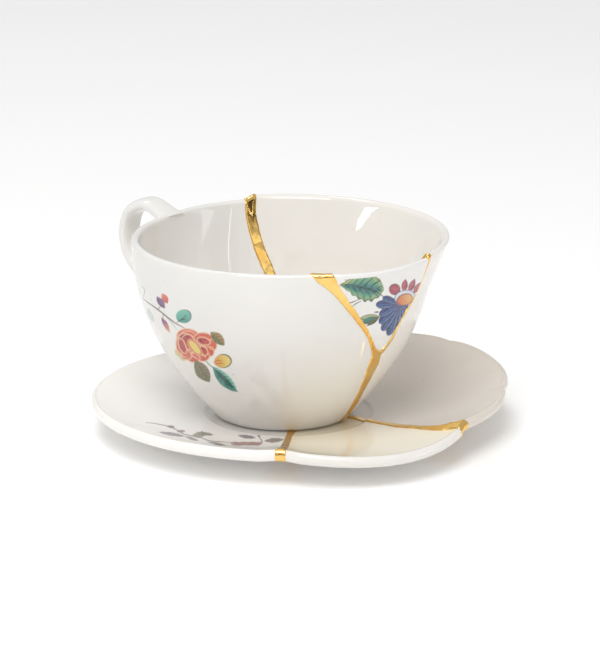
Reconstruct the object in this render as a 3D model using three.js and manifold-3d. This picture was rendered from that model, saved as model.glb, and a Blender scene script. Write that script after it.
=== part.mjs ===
// A porcelain teacup standing on its saucer, both broken and mended in the kintsugi way: shards of
// several wares, held edge to edge by seams of gold lacquer. Millimetres, +Z up, the handle towards -X.
import * as THREE from "three";
import { mergeVertices } from "three/addons/utils/BufferGeometryUtils.js";
import Module from "manifold-3d";

const wasm = await Module();
wasm.setup();

// Cup
const cupHeight = 64;
const cupRimRadius = 53.2;
const cupFootRadius = 23.6;
const cupWall = 2.6;
const cupFloorHeight = 4.6;
const cupFootWidth = 3.2;
const cupFootRecess = 1.6;
const cupFootEdge = 0.4;
const cupFloorBlend = 6;
const bellyPower = 2.1;

// The lip of the right-hand wares leans outwards, over part of the way round.
const lipFlare = 5.4;
const lipFlareHeight = 20;
const lipFlarePower = 1.65;
const flareStart = { from: -45, full: -15 };
const flareEnd = { from: 135, full: 195 };
const handleShardFlare = 0.75;
const plainShardRise = 1.2;

// Handle. Its heights follow the lip's: the upper end and the lower end are below it, the crown above.
const handleAngle = 180;
const handleWidth = 9.6;
const handleThickness = 4.2;
const handleRoundness = 0.75;
const handleReach = 21.8;
const handleTopDrop = 2.4;
const handleFootDrop = 37;
const handleCrownRise = 4.2;
const handleTop = cupHeight - handleTopDrop;
const handleFoot = cupHeight - handleFootDrop;
const handleCrown = cupHeight + handleCrownRise;

// Saucer
const saucerFootRadius = 28;
const saucerFootWidth = 3.4;
const saucerFootHeight = 2.8;
const saucerFootEdge = 0.5;
const saucerThickness = 3.2;
const saucerRimThickness = 4;
const wellRadius = 29.2;
const wellDepth = 0.7;
const wellEdge = 1;
const slopeGap = 2.4;
const slopePower = 1.5;
const slopeEnd = 0.965;
const roundRadius = 70.2;
const roundRimHeight = 13.2;
const creamRadius = 77.6;
const creamRimHeight = 11.4;
const creamEndHeight = 13.3;
const creamSkew = 1.2;
const petalRadii = { front: 73, crest: 80.2, back: 75 };
const petalFrontHeight = 14.4;
const petalRimHeight = 18.2;
const petalBackHeight = 14.5;
const petalRiseStart = 22;
const petalWidest = 62;
const petalCrest = 72;
const petalNotch = 1.2;
const petalNotchDip = 0.8;
const notchPower = 2.5;
const frontNotch = 1.4;
const frontNotchReach = 7;
const firstNotch = 41;
const lobeAngle = 40;

// Where the seams cross the saucer's rim and the cup's lip, as angles round the axis
const saucerSeamAngle = { front: -52.3, right: 6, back: 141 };
const cupSeamAngle = { front: -35.4, right: 9.9, back: 142.6 };

// Fits
const goldWidth = 3;
const cupOffset = -2;
const cupOffsetAngle = 40;
const restGap = 0.3;
const goldProud = 0.25;
const goldClearance = 0.1;
const goldFootLift = 0.15;
const cutOvershoot = 5;

// Fineness of the faceted surfaces
const columnCount = 48;
const wallSteps = 9;
const floorSteps = 3;
const lipSteps = 4;
const slopeSteps = 5;
const seamStep = 4.5;
const handleSteps = 20;
const handleCorners = 10;

const radians = THREE.MathUtils.degToRad;
const { clamp, lerp, smoothstep } = THREE.MathUtils;

// A closed solid between a start point, rings of equally many points and an end point.
function skin(start, rings, end) {
  const points = [start, ...rings.flat(), end];
  const count = rings[0].length;
  const last = points.length - 1;
  const at = (ring, i) => 1 + ring * count + (i % count);
  const faces = [];
  for (let i = 0; i < count; i++) {
    faces.push([0, at(0, i + 1), at(0, i)]);
    faces.push([last, at(rings.length - 1, i), at(rings.length - 1, i + 1)]);
    for (let ring = 0; ring < rings.length - 1; ring++) {
      faces.push([at(ring, i), at(ring, i + 1), at(ring + 1, i + 1)]);
      faces.push([at(ring, i), at(ring + 1, i + 1), at(ring + 1, i)]);
    }
  }
  const volume = faces.reduce(
    (sum, [a, b, c]) => sum + points[a].dot(points[b].clone().cross(points[c])),
    0,
  );
  const turned = volume < 0 ? faces.map(([a, b, c]) => [a, c, b]) : faces;
  const geometry = new THREE.BufferGeometry().setFromPoints(points);
  geometry.setIndex(turned.flat());
  return solidOf(geometry);
}

function solidOf(geometry) {
  geometry.deleteAttribute("normal");
  geometry.deleteAttribute("uv");
  const merged = mergeVertices(geometry, 1e-4);
  return new wasm.Manifold(
    new wasm.Mesh({
      numProp: 3,
      vertProperties: merged.attributes.position.array,
      triVerts: new Uint32Array(merged.index.array),
    }),
  );
}

function geometryOf(solid) {
  const mesh = solid.getMesh();
  const geometry = new THREE.BufferGeometry();
  geometry.setAttribute("position", new THREE.BufferAttribute(mesh.vertProperties, 3));
  geometry.setIndex(new THREE.BufferAttribute(mesh.triVerts, 1));
  geometry.computeVertexNormals();
  return geometry;
}

const polar = (angle, r, z) =>
  new THREE.Vector3(r * Math.cos(radians(angle)), r * Math.sin(radians(angle)), z);

// The larger of two numbers, with a soft change from one to the other.
function softMax(a, b, blend) {
  const apart = clamp(blend - Math.abs(a - b), 0, blend);
  return Math.max(a, b) + (apart * apart) / (4 * blend);
}

const centreOf = (points) =>
  points.reduce((sum, p) => sum.add(p), new THREE.Vector3()).divideScalar(points.length);

// The bowl's side, outside, from t = 0 at the foot to 1 at the lip, moved inwards by an inset.
function bowlSide(t, inset) {
  const left = Math.max(1 - t, 0);
  const r = cupFootRadius + (cupRimRadius - cupFootRadius) * (1 - left ** bellyPower);
  const run = (cupRimRadius - cupFootRadius) * bellyPower * left ** (bellyPower - 1);
  const length = Math.hypot(run, cupHeight);
  return {
    r: r - (inset * cupHeight) / length,
    h: cupHeight * t + (inset * run) / length,
  };
}

// The share t at which the bowl's side has a radius. Below the foot it carries on to the axis.
const sideShare = (r) =>
  1 - (1 - (r - cupFootRadius) / (cupRimRadius - cupFootRadius)) ** (1 / bellyPower);

function flareAt(angle) {
  const turned = ((((angle + 165) % 360) + 360) % 360) - 165;
  return (
    lipFlare *
    smoothstep(turned, flareStart.from, flareStart.full) *
    (1 - smoothstep(turned, flareEnd.from, flareEnd.full))
  );
}

// The cup's section from the axis under the foot, up the outside, over the lip and down to the
// middle of the inner floor. A proud section is thicker on both sides, for the gold.
function cupSection(proud) {
  const footInner = cupFootRadius - cupFootWidth;
  const lift = proud ? goldFootLift : 0;
  const section = [
    { r: 0, h: cupFootRecess - proud },
    { r: footInner - cupFootRecess / 2, h: cupFootRecess - proud },
    { r: footInner + cupFootEdge, h: lift },
    { r: cupFootRadius - cupFootEdge, h: lift },
  ];
  const lowShare = (2 * cupFootEdge) / cupHeight;
  const lipShare = 1 - cupWall / 2 / cupHeight;
  for (let i = 0; i <= wallSteps; i++) {
    section.push(bowlSide(lerp(lowShare, lipShare, i / wallSteps), -proud));
  }
  const outer = bowlSide(lipShare, -proud);
  const inner = bowlSide(lipShare, cupWall + proud);
  const middle = { r: (outer.r + inner.r) / 2, h: (outer.h + inner.h) / 2 };
  for (let i = 1; i < lipSteps; i++) {
    const turn = (Math.PI * i) / lipSteps;
    section.push({
      r: middle.r + (outer.r - middle.r) * Math.cos(turn),
      h: middle.h + (cupWall / 2 + proud) * Math.sin(turn),
    });
  }
  const innerShares = [];
  for (let i = 0; i <= wallSteps; i++) {
    innerShares.push(lerp(lipShare, lowShare, i / wallSteps));
  }
  const start = bowlSide(lowShare, cupWall).r;
  for (let i = 1; i < floorSteps; i++) {
    innerShares.push(sideShare(start * (1 - i / floorSteps)));
  }
  for (const t of innerShares) {
    const p = bowlSide(t, cupWall + proud);
    section.push({ r: p.r, h: softMax(p.h, cupFloorHeight + proud, cupFloorBlend) });
  }
  section.push({ r: 0, h: section.at(-1).h });
  return section;
}

// Where a point of the section lies in a shard whose lip flares by a share and stands higher.
function cupPoint(angle, { r, h }, ware) {
  const up = clamp((h - cupHeight + lipFlareHeight) / lipFlareHeight, 0, 1.2);
  const out = r + flareAt(angle) * ware.flare * up ** lipFlarePower;
  return polar(angle, out, h + ware.rise * clamp(h / cupHeight, 0, 1) ** 2);
}

const columns = Array.from({ length: columnCount }, (_, i) => (360 * i) / columnCount);

// Rings of a body round the axis, from the section's first point to its last, both on the axis.
function turnedBody(section, angles, place) {
  const rings = section.slice(1, -1).map((p) => angles.map((angle) => place(angle, p)));
  return skin(place(0, section[0]), rings, place(0, section.at(-1)));
}

// The cup's seams, each as the points of its middle line. A point has its angle, its share of the
// height or of the foot's radius, and how many times the usual width the gold is there.
const onSide = (angle, share, spread) => ({
  angle,
  ...bowlSide(share, 0),
  width: goldWidth * spread,
});
const onBase = (angle, share, spread) => ({
  angle,
  r: cupFootRadius * share,
  h: 0,
  width: goldWidth * spread,
});

const backToFrontSeam = [
  onSide(142.4, 1.1, 1.43),
  onSide(cupSeamAngle.back, 1, 1.37),
  onSide(143, 0.93, 1.3),
  onSide(142.2, 0.84, 1.3),
  onSide(140.3, 0.73, 1.3),
  onSide(137.2, 0.62, 1.3),
  onSide(133, 0.48, 1.23),
  onSide(127, 0.3, 1.13),
  onSide(120, 0.1, 1),
  onBase(112, 0.8, 0.867),
  onBase(74, 0.46, 0.833),
  onBase(20, 0.64, 0.867),
  onBase(6, 1, 0.93),
  onSide(3.6, 0.1, 0.9),
  onSide(0.6, 0.18, 0.867),
  onSide(-1.4, 0.25, 1),
  onSide(-2.8, 0.32, 1.3),
  onSide(-3.8, 0.4, 1.77),
  onSide(-5, 0.465, 1.4),
  onSide(-7.9, 0.51, 0.567),
  onSide(-12.7, 0.6, 0.433),
  onSide(-16.9, 0.67, 0.533),
  onSide(-21.7, 0.75, 0.633),
  onSide(-26.3, 0.83, 0.8),
  onSide(-30.2, 0.9, 1.1),
  onSide(-33.4, 0.96, 1.73),
  onSide(cupSeamAngle.front, 1, 2.13),
  onSide(-39, 1.1, 2.53),
];
const rightSeam = [
  onSide(-5, 0.465, 0.733),
  onSide(-1.2, 0.488, 0.667),
  onSide(1.5, 0.535, 0.567),
  onSide(2.9, 0.59, 0.367),
  onSide(4.2, 0.64, 0.3),
  onSide(6.6, 0.69, 0.267),
  onSide(9.2, 0.74, 0.267),
  onSide(10.9, 0.8, 0.267),
  onSide(10.8, 0.9, 0.333),
  onSide(cupSeamAngle.right, 1, 0.733),
  onSide(9.9, 1.1, 0.8),
];

// Points along a smooth line through the seam's points, with the widths between them.
function seamLine(seam) {
  const through = seam.map((p) => polar(p.angle, p.r, p.h));
  const curve = new THREE.CatmullRomCurve3(through, false, "centripetal");
  const steps = Math.ceil(curve.getLength() / seamStep);
  return Array.from({ length: steps + 1 }, (_, i) => {
    const t = i / steps;
    const position = t * (seam.length - 1);
    const before = Math.min(Math.floor(position), seam.length - 2);
    return {
      point: curve.getPoint(t),
      along: curve.getTangent(t),
      width: lerp(seam[before].width, seam[before + 1].width, position - before),
    };
  });
}

// A wedge-sided strip that follows a seam and cuts through the wall, square to it all the way:
// its sides spread from one point on the axis, from which the bowl is nearly a sphere.
const bowlCentre = new THREE.Vector3(0, 0, cupHeight * 0.81);
const wallReach = { near: 0.7, far: 1.3 };

function bowlStrip(seam, clearance) {
  const rings = seamLine(seam).map(({ point, along, width }) => {
    const ray = point.clone().sub(bowlCentre);
    const side = along.clone().cross(ray).normalize();
    side.multiplyScalar(width / 2 - clearance);
    const [a, b] = [ray.clone().add(side), ray.clone().sub(side)];
    return [
      [a, wallReach.near],
      [b, wallReach.near],
      [b, wallReach.far],
      [a, wallReach.far],
    ].map(([p, reach]) => bowlCentre.clone().addScaledVector(p, reach));
  });
  return skin(centreOf(rings[0]), rings, centreOf(rings.at(-1)));
}

const cupStrips = (clearance) =>
  bowlStrip(backToFrontSeam, clearance).add(bowlStrip(rightSeam, clearance));

// The piece of a broken body that lies furthest towards the middle between two seams, counted the
// way the angles grow.
function shardBetween(body, strips, from, to) {
  const towards = polar((from + to + (to < from ? 360 : 0)) / 2, 1, 0);
  const reach = (piece) => {
    const mesh = piece.getMesh();
    const middle = new THREE.Vector3();
    for (let i = 0; i < mesh.numVert; i++) {
      middle.add(new THREE.Vector3().fromArray(mesh.vertProperties, i * mesh.numProp));
    }
    return middle.divideScalar(mesh.numVert).normalize().dot(towards);
  };
  const pieces = body.subtract(strips).decompose();
  return pieces.reduce((best, piece) => (reach(piece) > reach(best) ? piece : best));
}

const cupBody = (ware, proud = 0) =>
  turnedBody(cupSection(proud), columns, (angle, p) => cupPoint(angle, p, ware));

// The handle is a flat strap in a loop, rising a little over the lip, with both ends in the wall. The
// points between the ends are shares of its reach and of its height.
function handle() {
  const wallAt = (h) => bowlSide(h / cupHeight, cupWall / 2).r;
  const out = (share) => cupRimRadius + share * (handleReach - handleThickness / 2);
  const up = (share) => lerp(handleFoot, handleCrown - handleThickness / 2, share);
  const path = new THREE.CatmullRomCurve3(
    [
      [wallAt(handleTop), handleTop],
      [out(0.16), up(0.95)],
      [out(0.5), up(1)],
      [out(0.84), up(0.92)],
      [out(1), up(0.72)],
      [out(0.93), up(0.53)],
      [out(0.62), up(0.34)],
      [out(0.1), up(0.13)],
      [wallAt(handleFoot), handleFoot],
    ].map(([r, h]) => new THREE.Vector3(r, 0, h)),
    false,
    "centripetal",
  );
  const rings = [];
  for (let i = 0; i <= handleSteps; i++) {
    const point = path.getPoint(i / handleSteps);
    const along = path.getTangent(i / handleSteps);
    const across = new THREE.Vector3(0, 1, 0);
    const outwards = across.clone().cross(along);
    const ring = [];
    for (let k = 0; k < handleCorners; k++) {
      const turn = (2 * Math.PI * k) / handleCorners;
      const squared = (x) => Math.sign(x) * Math.abs(x) ** handleRoundness;
      ring.push(
        point
          .clone()
          .addScaledVector(across, (handleWidth / 2) * squared(Math.cos(turn)))
          .addScaledVector(outwards, (handleThickness / 2) * squared(Math.sin(turn)))
          .applyAxisAngle(new THREE.Vector3(0, 0, 1), radians(handleAngle)),
      );
    }
    rings.push(ring);
  }
  return skin(centreOf(rings[0]), rings, centreOf(rings.at(-1)));
}

// Saucer: the three wares have their own outlines and rim heights.
// The shards' corners are worn back beside the front seam.
const wornAt = (angle) =>
  frontNotch * (1 - smoothstep(Math.abs(angle - saucerSeamAngle.front), 0, frontNotchReach));

const roundWare = (angle) => ({ radius: roundRadius - wornAt(angle), height: roundRimHeight });

function creamWare(angle) {
  const { front, right } = saucerSeamAngle;
  const share = clamp((angle - front) / (right - front), 0, 1);
  const bulge = Math.sin(Math.PI * share ** creamSkew);
  const edge = lerp(roundRadius, petalRadii.front, share);
  return {
    radius: edge + (creamRadius - edge) * bulge - wornAt(angle),
    height: lerp(lerp(roundRimHeight, creamEndHeight, share), creamRimHeight, bulge),
  };
}

// Lobes like petals, with a notch between each two and a rim that rises towards the back.
function petalWare(angle) {
  const lobe = (angle - firstNotch) / lobeAngle;
  const notch = petalNotch * (1 - Math.abs(Math.sin(Math.PI * lobe))) ** notchPower;
  const widening = smoothstep(angle, saucerSeamAngle.right, petalWidest);
  const rise = smoothstep(angle, petalRiseStart, petalCrest);
  const fall = smoothstep(angle, petalCrest, saucerSeamAngle.back);
  const { front, crest, back } = petalRadii;
  const height = lerp(lerp(petalFrontHeight, petalRimHeight, rise), petalBackHeight, fall);
  return {
    radius: lerp(lerp(front, crest, widening), back, fall) - notch,
    height: height - petalNotchDip * notch,
  };
}

// The saucer's seams. A point has its angle, its share of the radius and how many times the usual
// width the gold is there. The back seam and the front seam meet in the middle.
const saucerSeam = (points) =>
  points.map(([angle, share, spread]) => ({
    angle,
    r: roundRadius * share,
    h: 0,
    width: goldWidth * spread,
  }));
const acrossSaucer = saucerSeam([
  [141.2, 1.225, 1.13],
  [saucerSeamAngle.back, 1.026, 1.13],
  [138.5, 0.741, 1],
  [144, 0.456, 1],
  [150, 0.199, 1],
  [10, 0.128, 0.8],
  [-41, 0.266, 0.75],
  [-48, 0.342, 0.73],
  [-50.4, 0.484, 0.75],
  [-51.7, 0.769, 0.85],
  [saucerSeamAngle.front, 1.007, 1.2],
  [-52.8, 1.225, 1.33],
]);
const rightAcrossSaucer = saucerSeam([
  [10, 0.128, 1],
  [24.8, 0.318, 0.83],
  [16.8, 0.436, 0.83],
  [12.5, 0.541, 0.83],
  [8.8, 0.645, 0.83],
  [6.4, 0.755, 0.57],
  [4.6, 0.855, 0.57],
  [4.4, 0.94, 0.9],
  [5.6, 1.004, 1.4],
  [saucerSeamAngle.right, 1.054, 1.67],
  [7, 1.225, 1.73],
]);

// The angle at which a seam of the saucer crosses a circle. The seams leave the middle only once.
function seamAngleAt(seam, r) {
  const outwards = [...seam].sort((a, b) => a.r - b.r);
  const next = outwards.findIndex((p) => p.r > r);
  if (next <= 0) return outwards.at(next).angle;
  const [a, b] = [outwards[next - 1], outwards[next]];
  return lerp(a.angle, b.angle, (r - a.r) / (b.r - a.r));
}
const innermost = Math.min(...acrossSaucer.map((p) => p.r));
const middleOfSeam = acrossSaucer.findIndex((p) => p.r === innermost);
const backSeam = acrossSaucer.slice(0, middleOfSeam);
const frontSeam = acrossSaucer.slice(middleOfSeam);

const signedAngle = (angle) => ((((angle + 180) % 360) + 360) % 360) - 180;

// The gold follows whichever ware is beside it, and slopes from one to the other across a seam.
function goldWare(angle, r) {
  const turned = signedAngle(angle);
  const half = THREE.MathUtils.radToDeg((0.7 * goldWidth) / Math.max(r, goldWidth));
  const past = (seam) => {
    const from = signedAngle(turned - seamAngleAt(seam, r));
    return smoothstep(from, -half, half);
  };
  const [round, cream, petal] = [roundWare(turned), creamWare(turned), petalWare(turned)];
  const mix = (a, b, share) => ({
    radius: lerp(a.radius, b.radius, share),
    height: lerp(a.height, b.height, share),
  });
  const { front, right, back } = saucerSeamAngle;
  if (turned < (front + right) / 2) return mix(round, cream, past(frontSeam));
  if (turned < (right + back) / 2) return mix(cream, petal, past(rightAcrossSaucer));
  return mix(petal, round, past(backSeam));
}

// The saucer's section from the axis underneath, out to the rim and back to the middle of the well.
// Out is the way from the foot to the rim, 0 to 1.
function saucerSection(proud) {
  const lift = proud ? goldFootLift : 0;
  const under = saucerFootHeight - proud;
  const footInner = saucerFootRadius - saucerFootWidth;
  const rimHalf = saucerRimThickness / 2 + proud;
  const section = [
    { r: 0, h: under },
    { r: footInner - saucerFootHeight / 2, h: under },
    { r: footInner + saucerFootEdge, h: lift },
    { r: saucerFootRadius - saucerFootEdge, h: lift },
    { r: saucerFootRadius + saucerFootHeight / 2, h: under },
  ];
  for (let i = 1; i <= slopeSteps; i++) {
    section.push({ out: (slopeEnd * i) / slopeSteps, side: -1 });
  }
  for (let i = 1; i < lipSteps + 1; i++) {
    const turn = Math.PI * (i / (lipSteps + 1) - 0.5);
    section.push({ out: 1, edge: rimHalf, turn });
  }
  for (let i = slopeSteps; i >= 1; i--) {
    section.push({ out: (slopeEnd * i) / slopeSteps, side: 1 });
  }
  const top = saucerFootHeight + saucerThickness + proud;
  section.push({ r: wellRadius + wellEdge, h: top + wellDepth });
  section.push({ r: wellRadius, h: top });
  section.push({ r: wellRadius / 2, h: top });
  section.push({ r: 0, h: top });
  return section;
}

function saucerPoint(angle, p, ware, proud) {
  if (p.r !== undefined) return polar(angle, p.r, p.h);
  const brim = saucerFootHeight + saucerThickness + wellDepth;
  const start = wellRadius + slopeGap;
  const { radius, height } = ware(angle, lerp(start, roundRadius, p.out));
  const half = saucerRimThickness / 2;
  const surface = lerp(brim, height, p.out ** slopePower);
  const middle = surface - lerp(saucerThickness / 2, half, p.out);
  if (p.turn !== undefined) {
    const r = radius - half + p.edge * Math.cos(p.turn);
    return polar(angle, r, middle + p.edge * Math.sin(p.turn));
  }
  const thick = lerp(saucerThickness, saucerRimThickness, p.out) / 2 + proud;
  const r = lerp(start, radius - half, p.out / slopeEnd);
  return polar(angle, r, middle + p.side * thick);
}

const saucerBody = (ware, proud = 0) =>
  turnedBody(saucerSection(proud), columns, (angle, p) =>
    saucerPoint(angle, p, (a, r) => ware(signedAngle(a), r), proud),
  );

// An upright-sided strip that follows a seam and cuts through the saucer.
function plateStrip(seam, clearance) {
  const bottom = -cutOvershoot;
  const top = petalRimHeight + cutOvershoot;
  const rings = seamLine(seam).map(({ point, along, width }) => {
    const side = new THREE.Vector3(-along.y, along.x, 0).normalize();
    side.multiplyScalar(width / 2 - clearance);
    const [a, b] = [point.clone().add(side), point.clone().sub(side)];
    return [
      [a, bottom],
      [b, bottom],
      [b, top],
      [a, top],
    ].map(([p, z]) => new THREE.Vector3(p.x, p.y, z));
  });
  return skin(centreOf(rings[0]), rings, centreOf(rings.at(-1)));
}

const saucerStrips = (clearance) =>
  plateStrip(acrossSaucer, clearance).add(plateStrip(rightAcrossSaucer, clearance));

// Glazes and gold
const glaze = (colour) =>
  new THREE.MeshStandardMaterial({ color: colour, roughness: 0.12, metalness: 0 });
const gold = () =>
  new THREE.MeshStandardMaterial({ color: 0xd9a441, roughness: 0.16, metalness: 1 });

function named(name, solid, material) {
  const mesh = new THREE.Mesh(geometryOf(solid), material);
  mesh.name = name;
  return mesh;
}

function cupGroup() {
  const broken = cupStrips(0);
  const handleWare = cupBody({ flare: handleShardFlare, rise: 0 }).add(handle());
  const flowerWare = cupBody({ flare: 1, rise: 0 });
  const plainWare = cupBody({ flare: 1, rise: plainShardRise });
  const between = { flare: (1 + handleShardFlare) / 2, rise: plainShardRise / 2 };
  const seamWare = cupBody(between, goldProud);
  const { front, right, back } = cupSeamAngle;
  const handleShard = shardBetween(handleWare, broken, back, front);
  const flowerShard = shardBetween(flowerWare, broken, front, right);
  const plainShard = shardBetween(plainWare, broken, right, back);
  const group = new THREE.Group();
  group.add(
    named("cup_handle_shard", handleShard, glaze(0xf1eee9)),
    named("cup_flower_shard", flowerShard, glaze(0xf3f1ee)),
    named("cup_plain_shard", plainShard, glaze(0xf0ece5)),
    named("cup_gold_seam", seamWare.intersect(cupStrips(goldClearance)), gold()),
  );
  const restHeight = saucerFootHeight + saucerThickness + restGap;
  group.position.copy(polar(cupOffsetAngle, cupOffset, restHeight));
  return group;
}

function saucerGroup() {
  const broken = saucerStrips(0);
  const { front, right, back } = saucerSeamAngle;
  const roundShard = shardBetween(saucerBody(roundWare), broken, back, front);
  const creamShard = shardBetween(saucerBody(creamWare), broken, front, right);
  const petalShard = shardBetween(saucerBody(petalWare), broken, right, back);
  const seam = saucerBody(goldWare, goldProud).intersect(saucerStrips(goldClearance));
  const group = new THREE.Group();
  group.add(
    named("saucer_round_shard", roundShard, glaze(0xf1eeea)),
    named("saucer_cream_shard", creamShard, glaze(0xefe6cf)),
    named("saucer_petal_shard", petalShard, glaze(0xe6dfd7)),
    named("saucer_gold_seam", seam, gold()),
  );
  return group;
}

// The origin is under the middle of the whole outline, on the surface that the saucer stands on.
const teacup = new THREE.Group();
teacup.add(cupGroup(), saucerGroup());
const outline = new THREE.Box3().setFromObject(teacup);
const middle = outline.getCenter(new THREE.Vector3());
teacup.position.set(-middle.x, -middle.y, -outline.min.z);

export default teacup;
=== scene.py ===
# The looks of a mended teacup on its saucer: glazed shards, painted sprigs and raised gold seams.
# Shapes are worked out in millimetres, and every finished mesh is in metres. Angles are in degrees.
import math
from contextlib import contextmanager

import bmesh
import bpy
import numpy as np
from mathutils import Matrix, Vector


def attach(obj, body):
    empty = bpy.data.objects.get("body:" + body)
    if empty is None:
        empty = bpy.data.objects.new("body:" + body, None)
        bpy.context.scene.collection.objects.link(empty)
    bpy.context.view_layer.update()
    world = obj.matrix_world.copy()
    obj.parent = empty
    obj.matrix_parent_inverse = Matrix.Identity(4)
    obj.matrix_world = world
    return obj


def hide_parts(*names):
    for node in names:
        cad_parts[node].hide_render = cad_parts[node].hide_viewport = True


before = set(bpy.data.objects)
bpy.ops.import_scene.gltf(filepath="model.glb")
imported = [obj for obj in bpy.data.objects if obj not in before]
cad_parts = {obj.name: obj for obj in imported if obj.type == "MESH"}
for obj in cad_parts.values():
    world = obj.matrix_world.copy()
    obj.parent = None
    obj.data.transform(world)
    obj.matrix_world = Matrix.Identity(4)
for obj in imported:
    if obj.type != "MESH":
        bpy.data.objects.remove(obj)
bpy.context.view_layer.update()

MM = 0.001

# The photograph's view
PHOTO_WIDTH = 600
PHOTO_CENTRE_PX = (300, 330)
PX_PER_MM = 2.84
CAMERA_DISTANCE = 1500
CAMERA_ELEVATION = 15.7
CAMERA_BEARING = -50
TARGET_SIDEWAYS = 3.87
TARGET_HEIGHT = 36.3
# The studio's dark parts, which the glaze and the gold mirror: their bearings and elevations
DOORWAY = (8, 30)
BEHIND_CAMERA = (-52, 2)

# Cup
CUP_HEIGHT = 64
RIM_RADIUS = 53.2
FOOT_RADIUS = 23.6
CUP_WALL = 2.6
FLOOR_HEIGHT = 4.6
FOOT_WIDTH = 3.2
FOOT_RECESS = 1.6
BELLY_POWER = 2.1
LIP_FLARE = 5.4
LIP_FLARE = 5.4
LIP_FLARE_HEIGHT = 20
LIP_FLARE_POWER = 1.65
FLARE_START = (-45, -15)
FLARE_END = (135, 195)
HANDLE_SHARD_FLARE = 0.75
PLAIN_SHARD_RISE = 1.2
FLOOR_BLEND = 6
# Handle
HANDLE_WIDTH = 9.6
HANDLE_THICKNESS = 4.2
HANDLE_REACH = 21.8
HANDLE_TOP = 61.6
HANDLE_FOOT = 27
HANDLE_CROWN = 68.2
HANDLE_SQUARENESS = 0.75

# Saucer
SAUCER_FOOT_RADIUS = 28
SAUCER_FOOT_WIDTH = 3.4
SAUCER_FOOT_HEIGHT = 2.8
SAUCER_THICKNESS = 3.2
SAUCER_RIM_THICKNESS = 4
WELL_RADIUS = 29.2
WELL_DEPTH = 0.7
ROUND_RADIUS = 70.2
ROUND_RIM_HEIGHT = 13.2
CREAM_RADIUS = 77.6
CREAM_RIM_HEIGHT = 11.4
CREAM_END_HEIGHT = 13.3
CREAM_SKEW = 1.2
PETAL_FRONT_RADIUS = 73
PETAL_CREST_RADIUS = 80.2
PETAL_BACK_RADIUS = 75
PETAL_FRONT_HEIGHT = 14.4
PETAL_RIM_HEIGHT = 18.2
PETAL_BACK_HEIGHT = 14.5
PETAL_RISE_START = 22
PETAL_WIDEST = 62
PETAL_CREST = 72
PETAL_NOTCH = 1.2
FRONT_NOTCH = 1.4
FRONT_NOTCH_REACH = 7
FIRST_NOTCH = 41
LOBE_ANGLE = 40
FRONT_SEAM_ANGLE = -52.3
RIGHT_SEAM_ANGLE = 6
BACK_SEAM_ANGLE = 141

# Soft folds of the petal shard, between its lobes
FOLD_HEIGHT = 1.1
FOLD_WIDTH = 8.5

# Fits. The finer net keeps inside the coarser solids' outline by a little.
EASE = 0.16
CUP_OFFSET = -2
CUP_OFFSET_BEARING = 40
REST_GAP = 0.3
GOLD_FOOT_LIFT = 0.15
GOLD_PROUD = 0.38
GOLD_LAP = 0.12

# The gold's rounding, in steps of the net, and the height and scale of its swell
GOLD_ROUNDING = 5
SWELL = 0.45
SWELL_SCALE = 0.22

# The cuts along the seams: the share of the cup's height that they point at, where they start and
# end on that way through the wall, and the heights between which they go through the saucer
CUT_CENTRE = 0.81
CUT_REACH = (0.7, 1.3)
CUT_HEIGHTS = (-5, PETAL_RIM_HEIGHT + 10)
SEAM_WAVER = 0.07

# Heights and the half thickness of the saucer's rim
PLATE_TOP = SAUCER_FOOT_HEIGHT + SAUCER_THICKNESS
RIM_HALF = SAUCER_RIM_THICKNESS / 2

# How far to each side of a seam the gold slopes from shard to shard: degrees on the cup,
# millimetres on the saucer
CUP_SLOPE = 2.2
RIGHT_SLOPE = 0.8
SAUCER_SLOPE = 2

# Seams: the angle, the share of the wall's height or of the foot's radius, and the gold's width
BACK_WALL_SEAM = [
    (142.4, 1.1, 4.3), (142.6, 1, 4.1), (143, 0.93, 3.9), (142.2, 0.84, 3.9),
    (140.3, 0.73, 3.9), (137.2, 0.62, 3.9), (133, 0.48, 3.7), (127, 0.3, 3.4),
    (120, 0.1, 3),
]
BASE_SEAM = [(112, 0.8, 2.6), (74, 0.46, 2.5), (24, 0.64, 2.6), (10.5, 1, 2.8)]
FRONT_WALL_SEAM = [
    (4.4, 0.1, 2.7), (0.6, 0.18, 2.6), (-1.4, 0.25, 3), (-2.8, 0.32, 3.9),
    (-3.8, 0.4, 5.3), (-5, 0.465, 4.2), (-7.9, 0.51, 1.7), (-12.7, 0.6, 1.3),
    (-16.9, 0.67, 1.6), (-21.7, 0.75, 1.9), (-26.3, 0.83, 2.1), (-30.2, 0.9, 2.7),
    (-33.4, 0.96, 4.5), (-35.5, 1, 5.8), (-39.1, 1.1, 7.2),
]
RIGHT_WALL_SEAM = [
    (-5, 0.465, 2.2), (-1.2, 0.488, 2), (1.5, 0.535, 1.7), (2.9, 0.59, 1.1),
    (4.2, 0.64, 0.9), (6.6, 0.69, 0.8), (9.2, 0.74, 0.6), (10.9, 0.8, 0.5),
    (10.8, 0.9, 0.5), (9.9, 1, 1.7), (9.9, 1.1, 2),
]
# The saucer's seams: the angle, the radius and the gold's width
SAUCER_BACK_SEAM = [
    (141.2, 86, 3.4), (141, 72, 3.4), (138.5, 52, 3), (144, 32, 3), (150, 14, 3),
]
SAUCER_FRONT_SEAM = [
    (10, 9, 2.4), (-41, 18.7, 2.2), (-48, 24, 2.2), (-50.4, 34, 2.2), (-51.7, 54, 2.5),
    (-52.4, 69.2, 3.5), (-53, 72, 2.7), (-53, 86, 2.7),
]
SAUCER_RIGHT_SEAM = [
    (10, 9, 3), (24.8, 22.3, 2.5), (16.8, 30.6, 2.5), (12.5, 38, 2.5), (8.8, 45.3, 2.5),
    (6.4, 53, 1.7), (4.6, 60, 1.7), (4.4, 66, 2.7), (5.6, 70.5, 4.2), (6.4, 74, 5),
    (7, 86, 5.2),
]

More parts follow.
